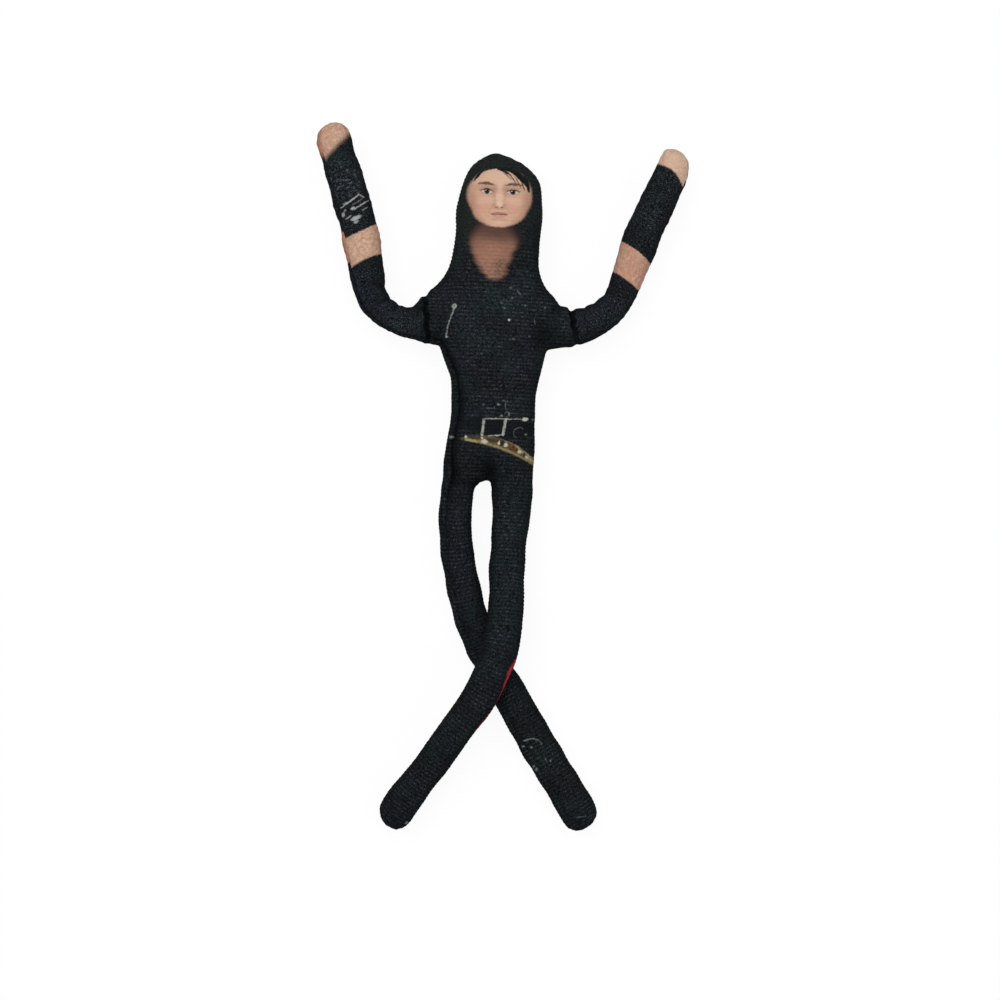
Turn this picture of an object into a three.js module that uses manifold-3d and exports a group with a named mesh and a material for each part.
// Bendable plush doll, lying on its back with its face up and its head toward +Y.
// Millimetres, +Z up. The doll's own left side is at +X.
// The skin is a printed knit: a front and a back panel from crown to toes, and a sleeve for each arm.
// Inside are fibre filling and a wire armature that holds any pose. Every bend is a soft stretch of
// skin and filling between two firm ones, with the wire running through it.
import * as THREE from "three";
import { mergeVertices } from "three/addons/utils/BufferGeometryUtils.js";
import Module from "manifold-3d";

const wasm = await Module();
wasm.setup();

// Skin, wire and clearances
const CLOTH = 0.8;
const WIRE_RADIUS = 0.6;
const FOLDED_END_RADIUS = 1.3;
const FOLDED_END_LENGTH = 6;
const END_COVER = 3.5;
const GAP = 0.3;
const FLAT_DEPTH = 0.5;
const FLOOR_CLEARANCE = 0.1;
const CROSSING_CLEARANCE = 0.5;

// Trunk, with heights measured up from the crotch
const CROTCH_X = -5.4;
const CROTCH_Y = -3.0;
const LEAN = 2.44;
const SEAT_HEIGHT = 11;
const PELVIS_TOP = 22;
const WAIST_TOP = 41;
const ARMPIT_HEIGHT = 47;
const SHOULDER_HEIGHT = 62;
const CHEST_TOP = 76;
const NECK_TOP = 93;
const BROW_HEIGHT = 106;
const CROWN_HEIGHT = 123;
const CROTCH_WIDTH = 34;
const CROTCH_THICKNESS = 16;
const SEAT_WIDTH = 33;
const SEAT_THICKNESS = 24;
const WAIST_WIDTH = 30.8;
const WAIST_THICKNESS = 21.2;
const ARMPIT_WIDTH = 39;
const SHOULDER_WIDTH = 45;
const CHEST_THICKNESS = 24;
const NECK_WIDTH = 32;
const NECK_THICKNESS = 21.6;
const HEAD_WIDTH = 31;
const HEAD_THICKNESS = 24;
const TRUNK_FULLNESS = 2.25;
const WAIST_PIVOT = (PELVIS_TOP + WAIST_TOP) / 2;
const NECK_PIVOT = (CHEST_TOP + NECK_TOP) / 2;
const HEAD_LOOP_RADIUS = 6.5;
const HEAD_LOOP_MARGIN = 3;
const CROSS_WIRE_DROP = 3;

// The seam between the front and back panels lies level, and the thickest parts rest flat on the ground.
const THICKEST = Math.max(SEAT_THICKNESS, CHEST_THICKNESS, HEAD_THICKNESS);
const SEAM_HEIGHT = THICKEST / 2 - FLAT_DEPTH;

// Arms, from the shoulder seam outwards. A turn is in degrees, as seen from above.
const STUB_LENGTH = 15;
const ARM_ROOT_RADIUS = 6.5;
const ARM_RADIUS = 6.6;
const HAND_RADIUS = 6.3;
const LIFT_BEND = 10.4;
const SHOULDER_RING = 2.6;
const SWING_BEND = 10.8;
const ELBOW_BEND = 15.6;
const LEFT_ARM = {
  x: 29.6, y: 59.5, heading: 10.4, straight: 2.5, bendRadius: 20, turn: 60.6, upperArm: 5, forearm: 36.5,
};
const RIGHT_ARM = {
  x: -23.2, y: 59.2, heading: 187.4, straight: 7, bendRadius: 14.5, turn: -81, upperArm: 14, forearm: 39.5,
};

// Legs, from the crotch level downwards. The left leg lies over the right one where they cross.
const LEG_LENGTH = 139;
const LEG_RADIUS = 6.2;
const HIP_BEND = 17;
const FOOT_RADIUS = 6.4;
const OVER_FOOT_LIFT = 1;
const LEFT_LEG = {
  x: 9.2, heading: 268.9, straight: 50.7, bendRadius: 60, turn: -32.2, hipRadius: 7.4, thigh: 35, kneeBend: 22,
  crossing: 71,
};
const RIGHT_LEG = {
  x: -11.6, heading: 270.4, straight: 11, bendRadius: 115, turn: 32.6, hipRadius: 6.2, thigh: 25, kneeBend: 20,
  crossing: 74,
};
const UNDER_LEG_HEIGHT = Math.max(FOOT_RADIUS, LEG_RADIUS) + FLOOR_CLEARANCE;
const OVER_LEG_HEIGHT = UNDER_LEG_HEIGHT + 2 * LEG_RADIUS + CROSSING_CLEARANCE;
const OVER_FOOT_HEIGHT = FOOT_RADIUS + OVER_FOOT_LIFT;

// Facets
const LIMB_SIDES = 12;
const TRUNK_SIDES = 16;
const WIRE_SIDES = 6;
const TIP_STEPS = 3;
const ROW_SPACING = 12;
const CHORD_ERROR = 0.1;

const NAVY_BLACK = { color: 0x15191c, roughness: 0.95, metalness: 0 };
const FIBRE_WHITE = { color: 0xe9e6df, roughness: 1, metalness: 0 };
const WIRE_GREY = { color: 0x9a9c9e, roughness: 0.4, metalness: 1 };

const rad = THREE.MathUtils.degToRad;

// A smooth value along a length, through knots of [place, value]. It never passes a highest or lowest knot.
function profile(knots) {
  const last = knots.length - 1;
  const slope = (k) => {
    const before = knots[Math.max(k - 1, 0)];
    const after = knots[Math.min(k + 1, last)];
    const inside = k > 0 && k < last;
    const turns = inside && (after[1] - knots[k][1]) * (knots[k][1] - before[1]) <= 0;
    return turns ? 0 : (after[1] - before[1]) / (after[0] - before[0]);
  };
  return (place) => {
    if (place <= knots[0][0]) return knots[0][1];
    if (place >= knots[last][0]) return knots[last][1];
    const i = knots.findIndex(([at]) => at > place) - 1;
    const run = knots[i + 1][0] - knots[i][0];
    const t = (place - knots[i][0]) / run;
    const t2 = t * t;
    const t3 = t2 * t;
    return (2 * t3 - 3 * t2 + 1) * knots[i][1] + (t3 - 2 * t2 + t) * run * slope(i)
      + (3 * t2 - 2 * t3) * knots[i + 1][1] + (t3 - t2) * run * slope(i + 1);
  };
}

// The solid between an outer and an inner grid of points. Rows run along the piece and columns round it.
// Rows or columns that shrink to a point close the piece there.
function wall(outer, inner, closesRound) {
  const points = [];
  const corner = (p) => points.push(p.x, p.y, p.z);
  const quad = (a, b, c, d) => {
    [a, b, c, a, c, d].forEach(corner);
  };
  const rows = outer.length;
  const columns = outer[0].length;
  const steps = closesRound ? columns : columns - 1;
  for (let k = 0; k < steps; k += 1) {
    const next = (k + 1) % columns;
    for (let i = 0; i < rows - 1; i += 1) {
      quad(outer[i][k], outer[i][next], outer[i + 1][next], outer[i + 1][k]);
      quad(inner[i][k], inner[i + 1][k], inner[i + 1][next], inner[i][next]);
    }
    quad(outer[0][k], inner[0][k], inner[0][next], outer[0][next]);
    quad(outer[rows - 1][k], outer[rows - 1][next], inner[rows - 1][next], inner[rows - 1][k]);
  }
  for (let i = 0; i < rows - 1 && !closesRound; i += 1) {
    const k = columns - 1;
    quad(outer[i][0], outer[i + 1][0], inner[i + 1][0], inner[i][0]);
    quad(outer[i][k], inner[i][k], inner[i + 1][k], outer[i + 1][k]);
  }
  return closedSurface(points);
}

// Merges shared corners, drops triangles without area and turns the faces outwards.
function closedSurface(points) {
  const loose = new THREE.BufferGeometry();
  loose.setAttribute("position", new THREE.Float32BufferAttribute(points, 3));
  const merged = mergeVertices(loose, 1e-4);
  const index = Array.from(merged.index.array);
  const kept = [];
  for (let i = 0; i < index.length; i += 3) {
    const [a, b, c] = index.slice(i, i + 3);
    if (a !== b && b !== c && c !== a) kept.push(a, b, c);
  }
  const position = merged.attributes.position;
  const corner = (i) => new THREE.Vector3().fromBufferAttribute(position, i);
  let volume = 0;
  for (let i = 0; i < kept.length; i += 3) {
    volume += corner(kept[i]).dot(corner(kept[i + 1]).cross(corner(kept[i + 2])));
  }
  merged.setIndex(volume > 0 ? kept : kept.reverse());
  return merged;
}

// One cross-section: a full oval or one of its halves
function section(frame, halfWidth, halfDepth, sides, { fullness = 2, half = null } = {}) {
  const points = [];
  const count = half ? sides / 2 + 1 : sides;
  for (let k = 0; k < count; k += 1) {
    const turn = (2 * Math.PI * k) / sides + (half === "back" ? Math.PI : 0);
    const across = Math.sign(Math.cos(turn)) * Math.abs(Math.cos(turn)) ** (2 / fullness) * halfWidth;
    let up = Math.sign(Math.sin(turn)) * Math.abs(Math.sin(turn)) ** (2 / fullness) * halfDepth;
    if (half === "front") up = Math.max(up, GAP / 2);
    if (half === "back") up = Math.min(up, -GAP / 2);
    points.push(frame.centre.clone().addScaledVector(frame.side, across).addScaledVector(frame.up, up));
  }
  return points;
}

// Booleans on closed geometries
function solid(geometry) {
  const bare = new THREE.BufferGeometry();
  bare.setAttribute("position", geometry.attributes.position);
  if (geometry.index) bare.setIndex(geometry.index);
  const merged = mergeVertices(bare, 1e-4);
  return new wasm.Manifold(new wasm.Mesh({
    numProp: 3,
    vertProperties: new Float32Array(merged.attributes.position.array),
    triVerts: new Uint32Array(merged.index.array),
  }));
}

function geometryOf(manifold) {
  const mesh = manifold.getMesh();
  const geometry = new THREE.BufferGeometry();
  geometry.setAttribute("position", new THREE.Float32BufferAttribute(mesh.vertProperties, 3));
  geometry.setIndex(Array.from(mesh.triVerts));
  return geometry;
}

function piece(name, geometry, look) {
  const mesh = new THREE.Mesh(geometry, new THREE.MeshStandardMaterial(look));
  mesh.name = name;
  return mesh;
}

// Places along a stretch, about a row spacing apart and counting both ends.
function placesBetween(from, to, spacing = ROW_SPACING) {
  const steps = Math.max(1, Math.round((to - from) / spacing));
  return Array.from({ length: steps + 1 }, (_, i) => from + ((to - from) * i) / steps);
}

// A limb's centreline: straight, then an even bend, then straight to the tip. It starts at the origin
// along +X, goes on straight behind its start, and its height follows a profile.
class Limb {
  constructor({ straight, bendRadius, turn, length, radii, heights }) {
    this.straight = straight;
    this.bendRadius = bendRadius;
    this.sign = Math.sign(turn);
    this.bendLength = bendRadius * Math.abs(rad(turn));
    this.length = length;
    this.radius = profile(radii);
    this.height = profile(heights);
    this.tipRadius = this.radius(length);
  }

  centre(s) {
    const round = THREE.MathUtils.clamp(s - this.straight, 0, this.bendLength) / this.bendRadius;
    const before = Math.min(s, this.straight);
    const after = Math.max(s - this.straight - this.bendLength, 0);
    const x = before + this.bendRadius * Math.sin(round) + after * Math.cos(round);
    const y = this.bendRadius * (1 - Math.cos(round)) + after * Math.sin(round);
    return new THREE.Vector3(x, this.sign * y, this.height(s));
  }

  frame(s) {
    const step = 0.05;
    const along = this.centre(s + step).sub(this.centre(s - step)).normalize();
    const side = new THREE.Vector3(0, 0, 1).cross(along).normalize();
    return { centre: this.centre(s), along, side, up: along.clone().cross(side) };
  }

  // Places for rows, closer together in the bend so that chords of different pieces stay clear
  places(from, to) {
    const bends = from < this.straight + this.bendLength && to > this.straight;
    const chord = Math.sqrt(8 * this.bendRadius * CHORD_ERROR);
    return placesBetween(from, to, bends ? Math.min(chord, ROW_SPACING) : ROW_SPACING);
  }

  // Rows of a layer that lies a given depth under the skin's surface, from one place to another.
  // Past the start of the rounded tip the rows follow the tip's own circle.
  rows(from, to, depth, options) {
    const roundStart = this.length - this.tipRadius;
    const rounded = to > roundStart;
    const oval = (s, r) => section(this.frame(s), r, r, LIMB_SIDES, options);
    const rows = this.places(from, rounded ? roundStart : to).map((s) => oval(s, this.radius(s) - depth));
    for (let i = 1; i <= TIP_STEPS && rounded; i += 1) {
      const turn = (Math.PI / 2) * (i / TIP_STEPS);
      const reach = this.tipRadius - depth;
      const frame = this.frame(roundStart + reach * Math.sin(turn));
      rows.push(i < TIP_STEPS ? section(frame, reach * Math.cos(turn), reach * Math.cos(turn), LIMB_SIDES, options)
        : rows[0].map(() => frame.centre.clone()));
    }
    return rows;
  }

  wireRadius(s) {
    const folded = s > this.length - END_COVER - FOLDED_END_LENGTH;
    return folded ? FOLDED_END_RADIUS : WIRE_RADIUS;
  }

  // Rows of the channel that the wire runs in, one for each row of the same stretch of filling.
  channelRows(from, to) {
    const roundStart = this.length - this.tipRadius;
    const rounded = to > roundStart;
    const oval = (s) => section(this.frame(s), this.wireRadius(s) + GAP, this.wireRadius(s) + GAP, LIMB_SIDES);
    const rows = this.places(from, rounded ? roundStart : to).map(oval);
    for (let i = 1; i <= TIP_STEPS && rounded; i += 1) {
      const end = this.length - END_COVER + GAP;
      const s = roundStart + ((end - roundStart) * Math.min(i, TIP_STEPS - 1)) / (TIP_STEPS - 1);
      rows.push(i < TIP_STEPS ? oval(s) : rows[0].map(() => this.centre(end)));
    }
    return rows;
  }

  // Skin all round, or only its front or back half
  skin(from, to, half) {
    return wall(this.rows(from, to, 0, { half }), this.rows(from, to, CLOTH, { half }), !half);
  }

  filling(from, to) {
    return wall(this.rows(from, to, CLOTH + GAP), this.channelRows(from, to), true);
  }

  // A soft stretch: skin and filling in one, with the wire's channel through it
  softStretch(from, to) {
    return wall(this.rows(from, to, 0), this.channelRows(from, to), true);
  }

  wire(from, to) {
    const folded = this.length - END_COVER - FOLDED_END_LENGTH;
    const places = to > folded
      ? [...this.places(from, folded + GAP), folded + 2 * GAP, ...placesBetween(folded + 1, to)]
      : this.places(from, to);
    const thickness = (s) => (s > folded + GAP ? FOLDED_END_RADIUS : WIRE_RADIUS);
    const rows = places.map((s) => section(this.frame(s), thickness(s), thickness(s), WIRE_SIDES));
    return wall(rows, places.map((s) => rows[0].map(() => this.centre(s))), true);
  }
}

// Wires end this far from a pivot, so that their ends clear each other when the bend closes.
const PIVOT_CLEARANCE = WIRE_RADIUS + 0.15;

// The trunk's own outline
const trunkWidth = profile([
  [0, CROTCH_WIDTH], [SEAT_HEIGHT, SEAT_WIDTH], [WAIST_PIVOT, WAIST_WIDTH], [ARMPIT_HEIGHT, ARMPIT_WIDTH],
  [SHOULDER_HEIGHT, SHOULDER_WIDTH], [CHEST_TOP, SHOULDER_WIDTH * 0.83], [NECK_PIVOT, NECK_WIDTH],
  [BROW_HEIGHT, HEAD_WIDTH],
]);
const trunkThickness = profile([
  [0, CROTCH_THICKNESS], [SEAT_HEIGHT, SEAT_THICKNESS], [WAIST_PIVOT, WAIST_THICKNESS],
  [ARMPIT_HEIGHT, CHEST_THICKNESS], [SHOULDER_HEIGHT, CHEST_THICKNESS], [NECK_PIVOT, NECK_THICKNESS],
  [BROW_HEIGHT, HEAD_THICKNESS],
]);

function trunkFrame(height) {
  return {
    centre: new THREE.Vector3(0, height, SEAM_HEIGHT),
    side: new THREE.Vector3(1, 0, 0),
    up: new THREE.Vector3(0, 0, 1),
  };
}

// Rows of a layer of the trunk below the brow, a given depth under the skin's surface
function trunkRows(from, to, depth) {
  return placesBetween(from, to, ROW_SPACING / 2).map((height) => section(
    trunkFrame(height), trunkWidth(height) / 2 - depth, trunkThickness(height) / 2 - depth, TRUNK_SIDES,
    { fullness: TRUNK_FULLNESS },
  ));
}

// The domed top of the head narrows like a hood. Its rows are closer together toward the crown.
function headRows(from, depth) {
  const rows = trunkRows(from, BROW_HEIGHT, depth);
  const rise = CROWN_HEIGHT - BROW_HEIGHT - depth;
  const hoodCurve = 1.7;
  const hoodClosing = 0.55;
  for (const share of [0.35, 0.62, 0.82, 0.94]) {
    const narrowing = (1 - share ** hoodCurve) ** hoodClosing;
    rows.push(section(
      trunkFrame(BROW_HEIGHT + rise * share), (HEAD_WIDTH / 2 - depth) * narrowing,
      (HEAD_THICKNESS / 2 - depth) * narrowing, TRUNK_SIDES, { fullness: TRUNK_FULLNESS },
    ));
  }
  rows.push(rows[0].map(() => new THREE.Vector3(0, BROW_HEIGHT + rise, SEAM_HEIGHT)));
  return rows;
}

const axisRows = (rows) => rows.map((row) => {
  const centre = row.reduce((sum, p) => sum.add(p), new THREE.Vector3()).divideScalar(row.length);
  return row.map(() => centre);
});

// A layer of the trunk as a closed solid. The doll lies on its back, so the back is cut flat.
function trunkSolid(rows, depth) {
  return solid(wall(rows, axisRows(rows), true)).trimByPlane([0, 0, 1], depth);
}

function slab(from, to) {
  const size = 400;
  const box = new THREE.BoxGeometry(size, size, to - from);
  box.translate(0, 0, (from + to) / 2);
  return solid(box);
}

// The front and back panels of a shell, which meet at the seam
function panels(name, shell) {
  const front = slab(SEAM_HEIGHT + GAP / 2, SEAM_HEIGHT + THICKEST);
  const back = slab(-1, SEAM_HEIGHT - GAP / 2);
  return [
    piece(`${name}_front_panel`, geometryOf(shell.intersect(front)), NAVY_BLACK),
    piece(`${name}_back_panel`, geometryOf(shell.intersect(back)), NAVY_BLACK),
  ];
}

// A shell runs open past its ends by this much before it is cut.
const OVERRUN = 1;

// A round bar along a run of points
function bar(points, radius) {
  const curve = new THREE.CatmullRomCurve3(points);
  const frames = placesBetween(0, 1, 0.125).map((t) => {
    const along = curve.getTangentAt(t);
    const lead = Math.abs(along.z) > 0.7 ? new THREE.Vector3(0, 1, 0) : new THREE.Vector3(0, 0, 1);
    const side = lead.cross(along).normalize();
    return { centre: curve.getPointAt(t), side, up: along.clone().cross(side) };
  });
  const rows = frames.map((frame) => section(frame, radius, radius, WIRE_SIDES));
  return wall(rows, axisRows(rows), true);
}

const doll = new THREE.Group();
const trunk = new THREE.Group();
trunk.position.set(CROTCH_X, CROTCH_Y, 0);
trunk.rotation.z = -rad(LEAN);
doll.add(trunk);

// Arms
const armReach = (arm) => LIFT_BEND + SHOULDER_RING + SWING_BEND + arm.upperArm + ELBOW_BEND + arm.forearm;

function armLimb(arm) {
  const length = armReach(arm);
  return new Limb({
    ...arm,
    length,
    radii: [[0, ARM_ROOT_RADIUS], [length * 0.3, ARM_RADIUS], [length * 0.7, ARM_RADIUS], [length, HAND_RADIUS]],
    heights: [[0, 0], [length, 0]],
  });
}

function placed(limb, x, y, heading) {
  const group = new THREE.Group();
  group.position.set(x, y, SEAM_HEIGHT);
  group.rotation.z = rad(heading);
  group.updateMatrix();
  group.userData.limb = limb;
  return group;
}

function buildArm(side, arm) {
  const limb = armLimb(arm);
  const group = placed(limb, arm.x, arm.y, arm.heading);
  const ringStart = LIFT_BEND;
  const swingStart = ringStart + SHOULDER_RING;
  const upperStart = swingStart + SWING_BEND;
  const elbowStart = upperStart + arm.upperArm;
  const foreStart = elbowStart + ELBOW_BEND;
  const liftPivot = LIFT_BEND / 2;
  const swingPivot = swingStart + SWING_BEND / 2;
  const elbowPivot = elbowStart + ELBOW_BEND / 2;
  const wireEnd = limb.length - END_COVER;
  group.add(
    piece(`${side}_shoulder_lift_bend`, limb.softStretch(GAP, ringStart - GAP), NAVY_BLACK),
    piece(`${side}_shoulder_sleeve`, limb.skin(ringStart, swingStart), NAVY_BLACK),
    piece(`${side}_shoulder_filling`, limb.filling(ringStart, swingStart), FIBRE_WHITE),
    piece(`${side}_shoulder_wire`, limb.wire(liftPivot + PIVOT_CLEARANCE, swingPivot - PIVOT_CLEARANCE), WIRE_GREY),
    piece(`${side}_shoulder_swing_bend`, limb.softStretch(swingStart + GAP, upperStart - GAP), NAVY_BLACK),
    piece(`${side}_upper_arm_sleeve`, limb.skin(upperStart, elbowStart), NAVY_BLACK),
    piece(`${side}_upper_arm_filling`, limb.filling(upperStart, elbowStart), FIBRE_WHITE),
    piece(`${side}_upper_arm_wire`, limb.wire(swingPivot + PIVOT_CLEARANCE, elbowPivot - PIVOT_CLEARANCE), WIRE_GREY),
    piece(`${side}_elbow_bend`, limb.softStretch(elbowStart + GAP, foreStart - GAP), NAVY_BLACK),
    piece(`${side}_forearm_sleeve`, limb.skin(foreStart, limb.length), NAVY_BLACK),
    piece(`${side}_forearm_filling`, limb.filling(foreStart, limb.length), FIBRE_WHITE),
    piece(`${side}_forearm_wire`, limb.wire(elbowPivot + PIVOT_CLEARANCE, wireEnd), WIRE_GREY),
  );
  trunk.add(group);
  return group;
}

const leftArm = buildArm("left", LEFT_ARM);
const rightArm = buildArm("right", RIGHT_ARM);

// Legs
function legHeights(leg, crossingHeight, footHeight) {
  return [
    [0, 0], [HIP_BEND, 0.06 * (crossingHeight - SEAM_HEIGHT)],
    [leg.crossing, crossingHeight - SEAM_HEIGHT], [LEG_LENGTH, footHeight - SEAM_HEIGHT],
  ];
}

function buildLeg(side, leg, crossingHeight, footHeight) {
  const limb = new Limb({
    ...leg,
    length: LEG_LENGTH,
    radii: [[0, leg.hipRadius], [HIP_BEND, (leg.hipRadius + LEG_RADIUS) / 2], [leg.crossing, LEG_RADIUS],
      [LEG_LENGTH, FOOT_RADIUS]],
    heights: legHeights(leg, crossingHeight, footHeight),
  });
  const group = placed(limb, leg.x, 0, leg.heading);
  const kneeStart = HIP_BEND + leg.thigh;
  const shinStart = kneeStart + leg.kneeBend;
  const hipPivot = HIP_BEND / 2;
  const kneePivot = kneeStart + leg.kneeBend / 2;
  const wireEnd = limb.length - END_COVER;
  group.add(
    piece(`${side}_hip_bend`, limb.softStretch(2 * GAP, HIP_BEND - GAP), NAVY_BLACK),
    piece(`${side}_thigh_front_panel`, limb.skin(HIP_BEND, kneeStart, "front"), NAVY_BLACK),
    piece(`${side}_thigh_back_panel`, limb.skin(HIP_BEND, kneeStart, "back"), NAVY_BLACK),
    piece(`${side}_thigh_filling`, limb.filling(HIP_BEND, kneeStart), FIBRE_WHITE),
    piece(`${side}_thigh_wire`, limb.wire(hipPivot + PIVOT_CLEARANCE, kneePivot - PIVOT_CLEARANCE), WIRE_GREY),
    piece(`${side}_knee_bend`, limb.softStretch(kneeStart + GAP, shinStart - GAP), NAVY_BLACK),
    piece(`${side}_shin_front_panel`, limb.skin(shinStart, limb.length, "front"), NAVY_BLACK),
    piece(`${side}_shin_back_panel`, limb.skin(shinStart, limb.length, "back"), NAVY_BLACK),
    piece(`${side}_shin_filling`, limb.filling(shinStart, limb.length), FIBRE_WHITE),
    piece(`${side}_shin_wire`, limb.wire(kneePivot + PIVOT_CLEARANCE, wireEnd), WIRE_GREY),
  );
  trunk.add(group);
  return group;
}

const leftLeg = buildLeg("left", LEFT_LEG, OVER_LEG_HEIGHT, OVER_FOOT_HEIGHT);
const rightLeg = buildLeg("right", RIGHT_LEG, UNDER_LEG_HEIGHT, UNDER_LEG_HEIGHT);

// Head: a hooded dome in two panels, filled round a closed loop of wire on its stem
function buildHead() {
  const loopHeight = (NECK_TOP + CROWN_HEIGHT) / 2;
  const loopRadius = Math.min(HEAD_LOOP_RADIUS, (CROWN_HEIGHT - NECK_TOP) / 2 - HEAD_LOOP_MARGIN);
  const loopBottom = loopHeight - loopRadius;
  const wire = (growth) => {
    const loop = new THREE.TorusGeometry(loopRadius, WIRE_RADIUS + growth, WIRE_SIDES, 18);
    loop.translate(0, loopHeight, SEAM_HEIGHT);
    const stem = bar([
      new THREE.Vector3(0, NECK_PIVOT + PIVOT_CLEARANCE - growth, SEAM_HEIGHT),
      new THREE.Vector3(0, loopBottom, SEAM_HEIGHT),
    ], WIRE_RADIUS + growth);
    return solid(loop).add(solid(stem));
  };
  const layer = (depth, overrun = 0) => trunkSolid(headRows(NECK_TOP - overrun, depth), depth);
  trunk.add(
    ...panels("head", layer(0).subtract(layer(CLOTH, OVERRUN))),
    piece("head_filling", geometryOf(layer(CLOTH + GAP).subtract(wire(GAP))), FIBRE_WHITE),
    piece("head_wire_loop", geometryOf(wire(0)), WIRE_GREY),
  );
}

// Soft stretches of the trunk, with the spine wire's channel through them
function trunkBend(name, from, to) {
  const channel = bar([
    new THREE.Vector3(0, from - OVERRUN, SEAM_HEIGHT), new THREE.Vector3(0, to + OVERRUN, SEAM_HEIGHT),
  ], WIRE_RADIUS + GAP);
  const skin = trunkSolid(trunkRows(from, to, 0), 0);
  trunk.add(piece(name, geometryOf(skin.subtract(solid(channel))), NAVY_BLACK));
}

// Chest: the trunk's outline with a short round stub toward each arm, in a front and a back panel
function chestSolid(depth, overrun) {
  const rows = trunkRows(WAIST_TOP - overrun, CHEST_TOP + overrun, depth);
  let whole = trunkSolid(rows, depth);
  for (const arm of [leftArm, rightArm]) {
    const limb = arm.userData.limb;
    const stub = limb.rows(-STUB_LENGTH, overrun, depth).map((row) => row.map((p) => p.applyMatrix4(arm.matrix)));
    whole = whole.add(solid(wall(stub, axisRows(stub), true)));
  }
  return whole;
}

function buildChest() {
  const inArm = (arm, s, rise = 0) => {
    const point = arm.userData.limb.centre(s).applyMatrix4(arm.matrix);
    return point.add(new THREE.Vector3(0, 0, rise));
  };
  const spineClearance = 2 * WIRE_RADIUS + GAP;
  const crossWire = (growth) => {
    const end = LIFT_BEND / 2 - PIVOT_CLEARANCE + growth;
    return bar([
      inArm(leftArm, end), inArm(leftArm, 0), inArm(leftArm, -STUB_LENGTH, spineClearance),
      new THREE.Vector3(0, SHOULDER_HEIGHT - CROSS_WIRE_DROP, SEAM_HEIGHT + spineClearance),
      inArm(rightArm, -STUB_LENGTH, spineClearance), inArm(rightArm, 0), inArm(rightArm, end),
    ], WIRE_RADIUS + growth);
  };
  const spineWire = (growth) => bar([
    new THREE.Vector3(0, WAIST_PIVOT + PIVOT_CLEARANCE - growth, SEAM_HEIGHT),
    new THREE.Vector3(0, NECK_PIVOT - PIVOT_CLEARANCE + growth, SEAM_HEIGHT),
  ], WIRE_RADIUS + growth);
  const filling = chestSolid(CLOTH + GAP, 0).subtract(solid(crossWire(GAP))).subtract(solid(spineWire(GAP)));
  trunk.add(
    ...panels("chest", chestSolid(0, 0).subtract(chestSolid(CLOTH, OVERRUN))),
    piece("chest_filling", geometryOf(filling), FIBRE_WHITE),
    piece("shoulder_cross_wire", crossWire(0), WIRE_GREY),
    piece("spine_wire", spineWire(0), WIRE_GREY),
  );
}

// Pelvis: the leg wires come up from both hips and meet at the waist
function buildPelvis() {
  const wire = (growth) => {
    const branches = [leftLeg, rightLeg].map((leg) => {
      const limb = leg.userData.limb;
      const end = HIP_BEND / 2 - PIVOT_CLEARANCE + growth;
      const [low, middle] = [end, 0].map((s) => limb.centre(s).applyMatrix4(leg.matrix));
      return solid(bar([
        low, middle, new THREE.Vector3(middle.x * 0.35, PELVIS_TOP * 0.5, SEAM_HEIGHT),
        new THREE.Vector3(0, PELVIS_TOP, SEAM_HEIGHT),
        new THREE.Vector3(0, WAIST_PIVOT - PIVOT_CLEARANCE + growth, SEAM_HEIGHT),
      ], WIRE_RADIUS + growth));
    });
    return branches[0].add(branches[1]);
  };
  const layer = (depth, overrun = 0) => trunkSolid(trunkRows(-overrun, PELVIS_TOP + overrun, depth), depth);
  trunk.add(
    ...panels("pelvis", layer(0).subtract(layer(CLOTH, OVERRUN))),
    piece("pelvis_filling", geometryOf(layer(CLOTH + GAP).subtract(wire(GAP))), FIBRE_WHITE),
    piece("pelvis_wire_fork", geometryOf(wire(0)), WIRE_GREY),
  );
}

buildHead();
trunkBend("neck_bend", CHEST_TOP + GAP, NECK_TOP - GAP);
buildChest();
trunkBend("waist_bend", PELVIS_TOP + GAP, WAIST_TOP - GAP);
buildPelvis();

export default doll;
